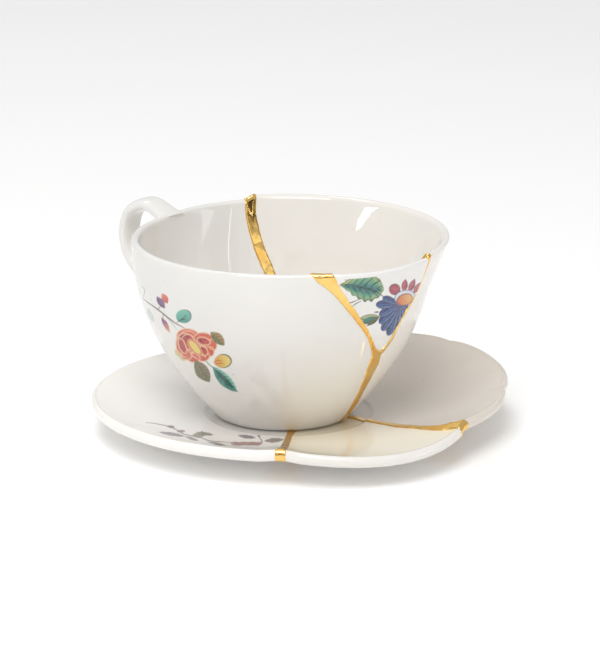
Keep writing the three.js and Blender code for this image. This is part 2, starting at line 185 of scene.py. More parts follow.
# Fineness
COLUMNS = 360
WALL_STEPS = 66
SLOPE_STEPS = 46
FLOOR_STEPS = 12
LIP_STEPS = 14
HANDLE_STEPS = 40
HANDLE_STEP = 0.8
SEAM_STEP = 1.0
GOLD_VOXEL = 0.22
SPRAY_PAINT_CUTS = 3
FLOWER_PAINT_CUTS = 4
PLATE_PAINT_CUTS = 3
SHARD_SHARP_ANGLE = 38
GOLD_SHARP_ANGLE = 70

# How much darker the pigments are than their swatches, to make up for the gloss over them
PAINT_DEPTH = 0.8


# Plain maths on arrays
def lerp(a, b, share):
    return a + (b - a) * share


def smoothstep(x, low, high):
    share = np.clip((x - low) / (high - low), 0, 1)
    return share * share * (3 - 2 * share)


def signed(angle):
    return (np.asarray(angle, float) + 180) % 360 - 180


def polar(angle, r, z):
    turn = np.radians(angle)
    return np.stack(np.broadcast_arrays(r * np.cos(turn), r * np.sin(turn), z), -1)


def direction(bearing, elevation):
    return polar(bearing, math.cos(math.radians(elevation)), math.sin(math.radians(elevation)))


def unit(v):
    v = np.asarray(v, float)
    return v / np.maximum(np.linalg.norm(v, axis=-1, keepdims=True), 1e-9)


def soft_max(a, b, blend):
    apart = np.clip(blend - np.abs(a - b), 0, blend)
    return np.maximum(a, b) + apart * apart / (4 * blend)


def bowl_side(t, inset=0.0):
    """Radius and height on the cup's outer side, from t = 0 at the foot to 1 at the lip."""
    left = np.maximum(1 - np.asarray(t, float), 0)
    spread = RIM_RADIUS - FOOT_RADIUS
    run = spread * BELLY_POWER * left ** (BELLY_POWER - 1)
    length = np.hypot(run, CUP_HEIGHT)
    r = FOOT_RADIUS + spread * (1 - left**BELLY_POWER)
    return r - inset * CUP_HEIGHT / length, CUP_HEIGHT * np.asarray(t, float) + inset * run / length


def side_share(r):
    return 1 - (1 - (r - FOOT_RADIUS) / (RIM_RADIUS - FOOT_RADIUS)) ** (1 / BELLY_POWER)


def lip_flare(angle, h, flare):
    """How far the lip leans out at an angle and a height, by a ware's share of the flare."""
    turned = (np.asarray(angle, float) + 165) % 360 - 165
    around = LIP_FLARE * smoothstep(turned, *FLARE_START) * (1 - smoothstep(turned, *FLARE_END))
    up = np.clip((h - CUP_HEIGHT + LIP_FLARE_HEIGHT) / LIP_FLARE_HEIGHT, 0, 1.2)
    return around * flare * up**LIP_FLARE_POWER


# Meshes
def new_object(name, data):
    made = bpy.data.objects.new(name, data)
    bpy.context.scene.collection.objects.link(made)
    return made


def new_piece(name, points, faces):
    mesh = bpy.data.meshes.new(name)
    mesh.from_pydata([tuple(p) for p in points], [], faces)
    mesh.validate()
    return new_object(name, mesh)


@contextmanager
def editing(mesh):
    bm = bmesh.new()
    bm.from_mesh(mesh)
    yield bm
    bm.to_mesh(mesh)
    bm.free()


def skin(name, start, rings, end):
    """A closed solid between a start point, rings of equally many points and an end point."""
    rings = np.asarray(rings, float)
    rows, count = rings.shape[:2]
    points = np.vstack([[start], rings.reshape(-1, 3), [end]])
    last = len(points) - 1
    faces = []
    for i in range(count):
        j = (i + 1) % count
        faces.append((0, 1 + j, 1 + i))
        faces.append((last, last - count + i, last - count + j))
        for row in range(rows - 1):
            low = 1 + row * count
            faces.append((low + i, low + j, low + count + j, low + count + i))
    piece = new_piece(name, points, faces)
    with editing(piece.data) as bm:
        if bm.calc_volume(signed=True) < 0:
            bmesh.ops.reverse_faces(bm, faces=bm.faces)
    return piece


def settle(piece):
    """Makes the piece's modifiers part of its mesh."""
    graph = bpy.context.evaluated_depsgraph_get()
    graph.update()
    mesh = bpy.data.meshes.new_from_object(piece.evaluated_get(graph))
    piece.modifiers.clear()
    piece.data = mesh


def boolean(piece, tool, operation):
    modifier = piece.modifiers.new("boolean", "BOOLEAN")
    modifier.solver = "MANIFOLD"
    modifier.operation = operation
    modifier.object = tool
    settle(piece)


def vertices_of(mesh, kind="co"):
    flat = np.empty(len(mesh.vertices) * 3)
    mesh.vertices.foreach_get(kind, flat)
    return flat.reshape(-1, 3)


def keep_island(piece, seed):
    """Keeps only the loose part that holds the vertex nearest to a point."""
    with editing(piece.data) as bm:
        kept = set()
        fresh = {min(bm.verts, key=lambda v: (v.co - Vector(seed)).length)}
        while fresh:
            kept |= fresh
            fresh = {edge.other_vert(v) for v in fresh for edge in v.link_edges} - kept
        gone = [v for v in bm.verts if v not in kept]
        bmesh.ops.delete(bm, geom=gone, context="VERTS")


def refine(piece, chosen, cuts):
    """Cuts the faces whose centres are chosen into a fine net for the painting."""
    with editing(piece.data) as bm:
        wanted = chosen(np.array([f.calc_center_median() for f in bm.faces]))
        edges = {e for f, keep in zip(bm.faces, wanted) if keep for e in f.edges}
        bmesh.ops.subdivide_edges(bm, edges=list(edges), cuts=cuts, use_grid_fill=True)
        bmesh.ops.triangulate(bm, faces=[f for f in bm.faces if len(f.verts) > 4])


def move_vertices(piece, points):
    piece.data.vertices.foreach_set("co", np.ascontiguousarray(points, float).reshape(-1))
    piece.data.update()


def write_paint(mesh, colours, cover):
    attribute = mesh.attributes.new("paint", "FLOAT_COLOR", "POINT")
    attribute.data.foreach_set("color", np.column_stack([colours, cover]).reshape(-1))


# Where the saucer and the cup stand, in millimetres, read from the frame
FLAT_FOOT = 0.02


def foot_centre():
    corners = []
    for name in ("saucer_round_shard", "saucer_cream_shard", "saucer_petal_shard"):
        points = vertices_of(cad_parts[name].data) / MM
        corners.append(points[points[:, 2] < FLAT_FOOT, :2])
    corners = np.vstack(corners)
    return (corners.min(0) + corners.max(0)) / 2


SAUCER_AXIS = np.append(foot_centre(), 0)
CUP_AXIS = SAUCER_AXIS + polar(CUP_OFFSET_BEARING, CUP_OFFSET, PLATE_TOP + REST_GAP)


# Seams as smooth lines
def smooth_line(points, step):
    """Places along a centripetal curve through points, its directions there, and how many of the
    points it has passed."""
    points = np.asarray(points, float)
    padded = np.vstack([2 * points[0] - points[1], points, 2 * points[-1] - points[-2]])
    gaps = np.linalg.norm(np.diff(padded, axis=0), axis=1) ** 0.5
    places, numbers = [], []
    for k in range(len(points) - 1):
        p0, p1, p2, p3 = padded[k : k + 4]
        d0, d1, d2 = gaps[k : k + 3]
        out = ((p1 - p0) / d0 - (p2 - p0) / (d0 + d1) + (p2 - p1) / d1) * d1
        into = ((p2 - p1) / d1 - (p3 - p1) / (d1 + d2) + (p3 - p2) / d2) * d1
        steps = max(2, math.ceil(np.linalg.norm(p2 - p1) / step))
        last = k == len(points) - 2
        w = np.linspace(0, 1, steps + 1)[: None if last else -1, None]
        places.append(
            (2 * w**3 - 3 * w**2 + 1) * p1
            + (w**3 - 2 * w**2 + w) * out
            + (3 * w**2 - 2 * w**3) * p2
            + (w**3 - w**2) * into
        )
        numbers.append(k + w[:, 0])
    places = np.vstack(places)
    return places, unit(np.gradient(places, axis=0)), np.concatenate(numbers)


def wavering(places):
    """A small steady unevenness along a hand-made edge."""
    x, y, z = places.T
    return SEAM_WAVER * (np.sin(0.9 * x + 1.3 * z) + 0.6 * np.sin(2.1 * y - 1.7 * z + 1)) / 1.6


def strip(points, widths, section, lap):
    """A solid that follows a seam, and laps a little over what lies beside it. A section gives its
    four corners at a place, from the seam's direction there and its half width."""
    places, along, numbers = smooth_line(points, SEAM_STEP)
    half = np.interp(numbers, range(len(widths)), widths) / 2 + wavering(places)
    rings = [section(p, d, h + lap) for p, d, h in zip(places, along, half)]
    return skin("strip", np.mean(rings[0], 0), rings, np.mean(rings[-1], 0))


def through_the_wall(place, along, half):
    centre = np.array([0, 0, CUP_HEIGHT * CUT_CENTRE])
    inner, outer = CUT_REACH
    ray = place - centre
    side = unit(np.cross(along, ray)) * half
    corners = (1, inner), (-1, inner), (-1, outer), (1, outer)
    return [centre + (ray + sign * side) * reach for sign, reach in corners]


def through_the_plate(place, along, half):
    side = unit([-along[1], along[0], 0]) * half
    low, top = CUT_HEIGHTS
    corners = (1, low), (-1, low), (-1, top), (1, top)
    return [np.append((place + sign * side)[:2], z) for sign, z in corners]


def path_of(*stretches):
    """Places and widths along a seam, from its rows and what turns their shares to r and z."""
    points = [polar(row[0], *shape(row[1])) for rows, shape in stretches for row in rows]
    return points, [width for rows, _ in stretches for *_, width in rows]


def cup_seams():
    def base(share):
        return FOOT_RADIUS * share, 0

    sides = (BACK_WALL_SEAM, bowl_side), (FRONT_WALL_SEAM, bowl_side)
    return [path_of(sides[0], (BASE_SEAM, base), sides[1]), path_of((RIGHT_WALL_SEAM, bowl_side))]


def saucer_seams():
    def flat(r):
        return r, 0

    long_seam = SAUCER_BACK_SEAM + SAUCER_FRONT_SEAM
    return [path_of((long_seam, flat)), path_of((SAUCER_RIGHT_SEAM, flat))]


def cut_along(seams, section, lap, bodies, operation):
    """Takes the strips along two seams from every body, or keeps only what lies in them."""
    tool, branch = (strip(*seam, section, lap) for seam in seams)
    boolean(tool, branch, "UNION")
    for body in bodies:
        boolean(body, tool, operation)
    bpy.data.objects.remove(branch)
    bpy.data.objects.remove(tool)


def mend(bodies, gold, seams, section, axis):
    """Keeps of each body the shard at its seed, and of the gold what joins the shards."""
    pieces = {name: body for name, (body, _) in bodies.items()}
    cut_along(seams, section, 0, pieces.values(), "DIFFERENCE")
    for body, seed in bodies.values():
        keep_island(body, seed)
    cut_along(seams, section, GOLD_LAP, [gold], "INTERSECT")
    pieces["gold"] = gold
    for piece in pieces.values():
        move_vertices(piece, vertices_of(piece.data) + axis)
    return pieces


def turned_body(name, points):
    return skin(name, points[0, 0] * [0, 0, 1], points[1:-1], points[-1, 0] * [0, 0, 1])


# The cup
def cup_section(proud):
    """Radii and heights from the axis under the foot, over the lip, to the middle of the floor."""
    foot_inner = FOOT_RADIUS - FOOT_WIDTH
    recess = FOOT_RECESS - proud
    foot = [
        (0, recess), (foot_inner / 2, recess), (foot_inner - FOOT_RECESS / 2, recess),
        (foot_inner + 0.1, 0.25), (foot_inner + 0.5, 0),
        (FOOT_RADIUS - 0.6, 0), (FOOT_RADIUS - 0.2, 0.15),
    ]
    side_start, inside_end = 0.012, 0.02
    lip_share = 1 - CUP_WALL / 2 / CUP_HEIGHT
    outer = np.transpose(bowl_side(np.linspace(side_start, lip_share, WALL_STEPS), -proud))
    outer_r, outer_h = bowl_side(lip_share, -proud)
    inner_r, inner_h = bowl_side(lip_share, CUP_WALL + proud)
    turn = np.linspace(0, math.pi, LIP_STEPS)[1:-1]
    lip = np.transpose(
        [
            lerp(outer_r, inner_r, 0.5) + (outer_r - inner_r) / 2 * np.cos(turn),
            lerp(outer_h, inner_h, 0.5) + (CUP_WALL / 2 + proud) * np.sin(turn),
        ]
    )
    shares = list(np.linspace(lip_share, inside_end, WALL_STEPS))
    start = bowl_side(inside_end, CUP_WALL)[0]
    shares += [side_share(start * (1 - k / FLOOR_STEPS)) for k in range(1, FLOOR_STEPS)]
    r, h = bowl_side(shares, CUP_WALL + proud)
    h = soft_max(h, FLOOR_HEIGHT + proud, FLOOR_BLEND)
    return np.vstack([foot, outer, lip, np.transpose([r, h]), [(0, h[-1])]])


def cup_body(name, ware, proud=0):
    """The whole turned cup of a ware, which gives its flare and rise at an angle and a height."""
    section = cup_section(proud)
    angles = np.arange(COLUMNS)[None, :] * 360 / COLUMNS
    r, h = section[:, :1], section[:, 1:]
    flare, rise = ware(angles, h)
    z = h + rise * np.clip(h / CUP_HEIGHT, 0, 1) ** 2
    return turned_body(name, polar(angles, r + lip_flare(angles, h, flare), z))


def seam_angle(seam, share):
    """The angle of a seam at a share of the height, or at a radius."""
    ordered = sorted(seam, key=lambda row: row[1])
    return np.interp(share, [row[1] for row in ordered], [row[0] for row in ordered])


def gold_ware(angles, h):
    """The gold slopes across each seam, from one shard's flare and rise to the next one's."""
    share = h / CUP_HEIGHT
    turned = signed(angles) + 0 * h
    at_back = turned > 60

    def past(seam, half):
        return smoothstep(turned - seam_angle(seam, share), -half, half)

    past_back = past(BACK_WALL_SEAM, CUP_SLOPE)
    handle_side = np.where(at_back, past_back, 1 - past(FRONT_WALL_SEAM, CUP_SLOPE + 1))
    plain_side = np.where(at_back, 1 - past_back, past(RIGHT_WALL_SEAM, RIGHT_SLOPE))
    return lerp(1, HANDLE_SHARD_FLARE, handle_side), PLAIN_SHARD_RISE * plain_side


def build_cup():
    # The flare and rise of each ware, and the angle at which its shard lies
    wares = {
        "handle": ((HANDLE_SHARD_FLARE, 0), 200),
        "flower": ((1, 0), -12),
        "plain": ((1, PLAIN_SHARD_RISE), 70),
    }
    bodies = {
        name: (cup_body(name, lambda *_, ware=ware: ware), polar(towards, *bowl_side(0.75)))
        for name, (ware, towards) in wares.items()
    }
    grip = build_handle()
    boolean(bodies["handle"][0], grip, "UNION")
    bpy.data.objects.remove(grip)
    gold = cup_body("gold", gold_ware, GOLD_PROUD)
    return mend(bodies, gold, cup_seams(), through_the_wall, CUP_AXIS)


def build_handle():
    """A flat strap in a loop, whose ends spread softly into the wall."""
    reach = HANDLE_REACH - EASE - HANDLE_THICKNESS / 2
    crown = HANDLE_CROWN - EASE - HANDLE_THICKNESS / 2
    loop = [(0.16, 0.95), (0.5, 1), (0.84, 0.92), (1, 0.72)]
    loop += [(0.93, 0.53), (0.62, 0.34), (0.1, 0.13)]
    top, foot = (
        (bowl_side(h / CUP_HEIGHT, CUP_WALL / 2)[0], h) for h in (HANDLE_TOP, HANDLE_FOOT)
    )
    path = [(RIM_RADIUS + out * reach, lerp(HANDLE_FOOT, crown, up)) for out, up in loop]
    places, along, _ = smooth_line([(-r, 0, h) for r, h in [top, *path, foot]], HANDLE_STEP)
    across = np.array([0, 1, 0])
    travelled = np.r_[0, np.cumsum(np.linalg.norm(np.diff(places, axis=0), axis=1))]
    # The ends' spread: its length, and the shares by which the strap grows wider and thicker
    top_length, top_wider, top_thicker = 7, 0.3, 0.12
    foot_length, foot_wider, foot_thicker = 9, 0.35, 0.5
    to_top = np.clip(1 - travelled / top_length, 0, 1) ** 2
    to_foot = np.clip(1 - (travelled[-1] - travelled) / foot_length, 0, 1) ** 2
    wide = HANDLE_WIDTH / 2 * (1 + top_wider * to_top + foot_wider * to_foot)
    thick = HANDLE_THICKNESS / 2 * (1 + top_thicker * to_top + foot_thicker * to_foot)
    turn = np.linspace(0, 2 * math.pi, HANDLE_STEPS, endpoint=False)
    oval = np.array([np.cos(turn), np.sin(turn)])
    sideways, outwards = np.sign(oval) * np.abs(oval) ** HANDLE_SQUARENESS
    rings = [
        place + np.outer(w * sideways, across) + np.outer(t * outwards, np.cross(across, way))
        for place, way, w, t in zip(places, along, wide, thick)
    ]
    return skin("handle", places[0], rings, places[-1])


# The saucer
def worn(angle):
    """How far the shards' corners are worn back beside the front seam."""
    return FRONT_NOTCH * (1 - smoothstep(np.abs(angle - FRONT_SEAM_ANGLE), 0, FRONT_NOTCH_REACH))


def round_ware(angle):
    return ROUND_RADIUS - worn(angle), ROUND_RIM_HEIGHT, 0


def cream_ware(angle):
    share = np.clip((angle - FRONT_SEAM_ANGLE) / (RIGHT_SEAM_ANGLE - FRONT_SEAM_ANGLE), 0, 1)
    bulge = np.sin(math.pi * share**CREAM_SKEW)
    edge = lerp(ROUND_RADIUS, PETAL_FRONT_RADIUS, share)
    height = lerp(lerp(ROUND_RIM_HEIGHT, CREAM_END_HEIGHT, share), CREAM_RIM_HEIGHT, bulge)
    return edge + (CREAM_RADIUS - edge) * bulge - worn(angle), height, 0


def petal_ware(angle):
    notch_power, notch_dip, fold_tip = 2.5, 0.8, 1.5
    lobe = (angle - FIRST_NOTCH) / LOBE_ANGLE
    notch = PETAL_NOTCH * (1 - np.abs(np.sin(math.pi * lobe))) ** notch_power
    from_fold = (lobe - np.round(lobe)) * LOBE_ANGLE
    fold = np.exp((fold_tip - np.hypot(from_fold, fold_tip)) / FOLD_WIDTH)
    widening = smoothstep(angle, RIGHT_SEAM_ANGLE, PETAL_WIDEST)
    rise = smoothstep(angle, PETAL_RISE_START, PETAL_CREST)
    fall = smoothstep(angle, PETAL_CREST, BACK_SEAM_ANGLE)
    radius = lerp(lerp(PETAL_FRONT_RADIUS, PETAL_CREST_RADIUS, widening), PETAL_BACK_RADIUS, fall)
    height = lerp(lerp(PETAL_FRONT_HEIGHT, PETAL_RIM_HEIGHT, rise), PETAL_BACK_HEIGHT, fall)
    return radius - notch, height - notch_dip * notch, fold


def saucer_gold_ware(angle, r):
    """The gold slopes across each seam, from one ware's outline and height to the next one's."""
    half = np.degrees(SAUCER_SLOPE / max(r, 12))
    wares = [round_ware(angle), cream_ware(angle), petal_ware(angle)]

    def mix(a, b, seam):
        share = smoothstep(signed(angle - seam_angle(seam, r)), -half, half)
        return [lerp(p, q, share) for p, q in zip(a, b)]

    front = mix(wares[0], wares[1], SAUCER_FRONT_SEAM)
    right = mix(wares[1], wares[2], SAUCER_RIGHT_SEAM)
    back = mix(wares[2], wares[0], SAUCER_BACK_SEAM)
    at_front, before_back = angle < -20, angle < 70
    beside = [np.where(before_back, r, b) for r, b in zip(right, back)]
    return [np.where(at_front, f, b) for f, b in zip(front, beside)]


SLOPE_START = WELL_RADIUS + 2.4
SLOPE_END = 0.965
SLOPE_POWER = 1.5
FOLD_POWER = 1.3


def slope(angle, out, side, ware, proud):
    """Points of the rising part, on its upper (side 1) or under face (side -1)."""
    radius, height, fold = ware
    middle = lerp(PLATE_TOP + WELL_DEPTH, height, out**SLOPE_POWER)
    middle = middle - lerp(SAUCER_THICKNESS / 2, RIM_HALF, out)
    thick = lerp(SAUCER_THICKNESS, SAUCER_RIM_THICKNESS, out) / 2 + proud
    r = lerp(SLOPE_START, radius - EASE - RIM_HALF, out / SLOPE_END)
    return polar(angle, r, middle + side * thick + FOLD_HEIGHT * fold * out**FOLD_POWER)


def out_on_slope(points, ware):
    """The angles of points on the saucer, a ware's shape there, and how far out they are."""
    x, y, _ = (points - SAUCER_AXIS).T
    angle = np.degrees(np.arctan2(y, x))
    shape = ware(angle)
    reach = shape[0] - EASE - RIM_HALF - SLOPE_START
    return angle, shape, (np.hypot(x, y) - SLOPE_START) / reach * SLOPE_END


def saucer_body(name, ware_at, proud=0):
    """The whole turned saucer of a ware, which gives its shape at an angle and a radius."""
    angle = signed(np.arange(COLUMNS) * 360 / COLUMNS)
    under = SAUCER_FOOT_HEIGHT - proud
    foot_inner = SAUCER_FOOT_RADIUS - SAUCER_FOOT_WIDTH
    top = PLATE_TOP + proud
    brim = top + WELL_DEPTH
    foot = [
        (foot_inner / 2, under), (foot_inner - SAUCER_FOOT_HEIGHT / 2, under),
        (foot_inner + 0.1, 0.3), (foot_inner + 0.6, 0),
        (SAUCER_FOOT_RADIUS - 0.6, 0), (SAUCER_FOOT_RADIUS - 0.1, 0.3),
        (SAUCER_FOOT_RADIUS + SAUCER_FOOT_HEIGHT / 2, under),
    ]
    well = [
        (WELL_RADIUS + 1.6, brim), (WELL_RADIUS + 1, brim - 0.04),
        (WELL_RADIUS + 0.5, lerp(top, brim, 0.8)), (WELL_RADIUS, lerp(top, brim, 0.3)),
        (WELL_RADIUS - 0.7, top + 0.03),
    ] + [(WELL_RADIUS * share, top) for share in (0.93, 0.8, 0.6, 0.4, 0.2)]

    def rising(outs, side):
        for out in outs:
            ware = ware_at(angle, lerp(SLOPE_START, ROUND_RADIUS, out))
            yield slope(angle, out, side, ware, proud)

    radius, height, fold = ware_at(angle, ROUND_RADIUS)
    r, z = radius - EASE - RIM_HALF, height - RIM_HALF + FOLD_HEIGHT * fold
    edge = RIM_HALF + proud
    turns = np.linspace(-math.pi / 2, math.pi / 2, LIP_STEPS)[1:-1]
    rim = [polar(angle, r + edge * math.cos(turn), z + edge * math.sin(turn)) for turn in turns]
    outs = np.linspace(0, 1, SLOPE_STEPS)[1:] * SLOPE_END
    rings = [polar(angle, r, z) for r, z in [(0, under), *foot]]
    rings += [*rising(outs, -1), *rim, *rising(outs[::-1], 1)]
    rings += [polar(angle, r, z) for r, z in [*well, (0, top)]]
    return turned_body(name, np.array(rings))


def build_saucer():
    # Each ware, and the angle at which its shard lies
    wares = {"round": (round_ware, -135), "cream": (cream_ware, -22), "petal": (petal_ware, 70)}
    bodies = {
        name: (saucer_body(name, lambda angle, r, ware=ware: ware(angle)), polar(towards, 60, 10))
        for name, (ware, towards) in wares.items()
    }
    gold = saucer_body("gold", saucer_gold_ware, GOLD_PROUD)
    return mend(bodies, gold, saucer_seams(), through_the_plate, SAUCER_AXIS)


# Node sheets, written as expressions on their values. The bumps' height is in metres.
BUMP_HEIGHT = 0.0005


class Value:
    """A number or a vector that runs through a node sheet."""

    def __init__(self, sheet, socket):
        self.sheet = sheet
        self.socket = socket

    def math(self, operation, other):
        return self.sheet.node("ShaderNodeMath", {"operation": operation}, [self, other])

    def __add__(self, other):
        return self.math("ADD", other)

    def __sub__(self, other):
        return self.math("SUBTRACT", other)

    def __mul__(self, other):
        return self.math("MULTIPLY", other)


class Sheet:
    """The nodes of a tree."""

    def __init__(self, tree):
        self.nodes = tree.nodes
        self.links = tree.links

    def feed(self, socket, value):
        if isinstance(value, Value):
            self.links.new(value.socket, socket)
        else:
            socket.default_value = value

    def node(self, kind, settings=None, inputs=(), output=0):
        made = self.nodes.new(kind)
        for key, value in (settings or {}).items():
            setattr(made, key, value)
        items = inputs.items() if isinstance(inputs, dict) else enumerate(inputs)
        for key, value in items:
            self.feed(made.inputs[key], value)
        return Value(self, made.outputs[output])

    def between(self, value, low, high, to_low=0.0, to_high=1.0):
        ends = {"From Min": low, "From Max": high, "To Min": to_low, "To Max": to_high}
        return self.node("ShaderNodeMapRange", {"clamp": True}, {"Value": value, **ends})

    def mix(self, share, a, b):
        colours = {"data_type": "RGBA", "blend_type": "MIX"}
        return self.node("ShaderNodeMix", colours, {0: share, 6: a, 7: b}, 2)


class Surface(Sheet):
    """The nodes of a new material."""

    def __init__(self, name):
        self.material = bpy.data.materials.new(name)
        self.material.use_nodes = True
        super().__init__(self.material.node_tree)
        self.shader = self.nodes["Principled BSDF"]
        self.place = self.node("ShaderNodeTexCoord", output="Object")

    def noise(self, scale, detail, roughness=0.5):
        wanted = {"Vector": self.place, "Scale": scale, "Detail": detail, "Roughness": roughness}
        return self.node("ShaderNodeTexNoise", {}, wanted, "Fac")

    def patches(self, scale, low=0.3, high=0.7, to_low=0.0, to_high=1.0, roughness=0.5):
        return self.between(self.noise(scale, 3, roughness), low, high, to_low, to_high)

    def set(self, **values):
        for key, value in values.items():
            self.feed(self.shader.inputs[key.replace("_", " ")], value)

    def bump(self, height, strength):
        wanted = {"Strength": strength, "Distance": BUMP_HEIGHT, "Height": height}
        self.set(Normal=self.node("ShaderNodeBump", {}, wanted))


def colour(r, g, b):
    """A linear colour from a display one, 0 to 255."""

    def linear(c):
        c /= 255
        return c / 12.92 if c <= 0.04045 else ((c + 0.055) / 1.055) ** 2.4

    return (linear(r), linear(g), linear(b), 1.0)


def glaze_material(name, body, tint, painted):
    """Gloss glaze over porcelain, with the painting under it where the piece has one."""
    sheet = Surface(name)
    base = sheet.mix(sheet.patches(28), colour(*body), colour(*tint))
    cells = {"Vector": sheet.place, "Scale": 170.0}
    pits = sheet.node("ShaderNodeTexVoronoi", {"feature": "F1"}, cells, "Distance")
    rare = sheet.between(sheet.noise(60, 0), 0.62, 0.66)
    base = sheet.mix(sheet.between(pits, 0.10, 0.05) * rare * 0.35, base, colour(176, 160, 138))
    gloss = sheet.patches(70, to_low=0.02, to_high=0.05)
    if painted:
        paint = sheet.node("ShaderNodeAttribute", {"attribute_name": "paint"}, output="Color")
        cover = Value(sheet, paint.socket.node.outputs["Alpha"])
        grain = sheet.between(sheet.noise(900, 2), 0.3, 0.7, 0.9, 1.0)
        base = sheet.mix(cover * grain, base, paint)
        gloss = gloss + cover * 0.03
    sheet.set(Base_Color=base, Roughness=gloss, IOR=1.52)
    sheet.bump(sheet.noise(40, 1) + sheet.noise(240, 1) * 0.08, 0.2)
    return sheet.material


def gold_material():
    """Polished gold leaf on lacquer, a little uneven and worn."""
    sheet = Surface("gold_leaf")
    base = sheet.mix(sheet.patches(120, 0.35, 0.65), colour(238, 186, 98), colour(248, 210, 128))
    worn = sheet.patches(420, 0.6, 0.75, roughness=0.6) * 0.3
    base = sheet.mix(worn, base, colour(196, 140, 62))
    gloss = sheet.patches(300, to_low=0.06, to_high=0.18)
    sheet.set(Base_Color=base, Metallic=1.0, Roughness=gloss)
    sheet.bump(sheet.noise(180, 2) + sheet.noise(900, 2) * 0.2, 0.22)
    return sheet.material


def lacquer_tree(gold):
    """Rounds a seam's edges and gives it the slow swell of a line laid by brush."""
    tree = bpy.data.node_groups.new("brushed_lacquer", "GeometryNodeTree")
    for name, way in (("Seam", "INPUT"), ("Seam", "OUTPUT")):
        tree.interface.new_socket(name, in_out=way, socket_type="NodeSocketGeometry")
    tree.interface.new_socket("Seed", in_out="INPUT", socket_type="NodeSocketFloat")
    sheet = Sheet(tree)
    seam, seed = (Value(sheet, end) for end in sheet.nodes.new("NodeGroupInput").outputs[:2])

    def step(kind, geometry, **inputs):
        return sheet.node("GeometryNode" + kind, {}, {"Geometry": geometry, **inputs})

    place = {"Value": sheet.node("GeometryNodeInputPosition"), "Iterations": GOLD_ROUNDING}
    rounded = sheet.node("GeometryNodeBlurAttribute", {"data_type": "FLOAT_VECTOR"}, place)
    wanted = {"Scale": SWELL_SCALE, "W": seed, "Detail": 1.0}
    noise = sheet.node("ShaderNodeTexNoise", {"noise_dimensions": "4D"}, wanted, "Fac")
    normal = sheet.node("GeometryNodeInputNormal")
    amount = {"Vector": normal, "Scale": (noise - 0.5) * SWELL}
    outwards = sheet.node("ShaderNodeVectorMath", {"operation": "SCALE"}, amount)
    swollen = step("SetPosition", step("SetPosition", seam, Position=rounded), Offset=outwards)
    gilded = step("SetMaterial", step("RealizeInstances", swollen), Material=gold)
    sheet.feed(sheet.nodes.new("NodeGroupOutput").inputs[0], gilded)
    return tree


def lay_lacquer(piece, tree, seed, lowest):
    """Turns a rough seam into brushed lacquer that stays above a height."""
    remesh = piece.modifiers.new("even_net", "REMESH")
    remesh.mode = "VOXEL"
    remesh.voxel_size = GOLD_VOXEL
    brushed = piece.modifiers.new("brushed", "NODES")
    brushed.node_group = tree
    brushed[tree.interface.items_tree["Seed"].identifier] = seed
    settle(piece)
    points = vertices_of(piece.data)
    points[:, 2] = np.maximum(points[:, 2], lowest)
    move_vertices(piece, points)


# How near a face a point has to be to lie on it, and where the cup's wall starts over its foot
ON_FACE = 0.3
WALL_FOOT = 0.8


# Painting. It is laid out in the photograph's view, in its pixels, and lands where that view meets
# the glaze.
RIGHTWARDS = direction(CAMERA_BEARING + 90, 0)
AIM = SAUCER_AXIS + RIGHTWARDS * TARGET_SIDEWAYS + [0, 0, TARGET_HEIGHT]
TO_CAMERA = direction(CAMERA_BEARING, CAMERA_ELEVATION)
EYE = AIM + CAMERA_DISTANCE * TO_CAMERA


def photo_pixels(points):
    away = points - EYE
    closer = away @ -TO_CAMERA / (CAMERA_DISTANCE * PX_PER_MM)
    x = PHOTO_CENTRE_PX[0] + away @ RIGHTWARDS / closer
    return x, PHOTO_CENTRE_PX[1] - away @ np.cross(TO_CAMERA, RIGHTWARDS) / closer


def pigment(r, g, b):
    return np.array(colour(r, g, b)[:3])


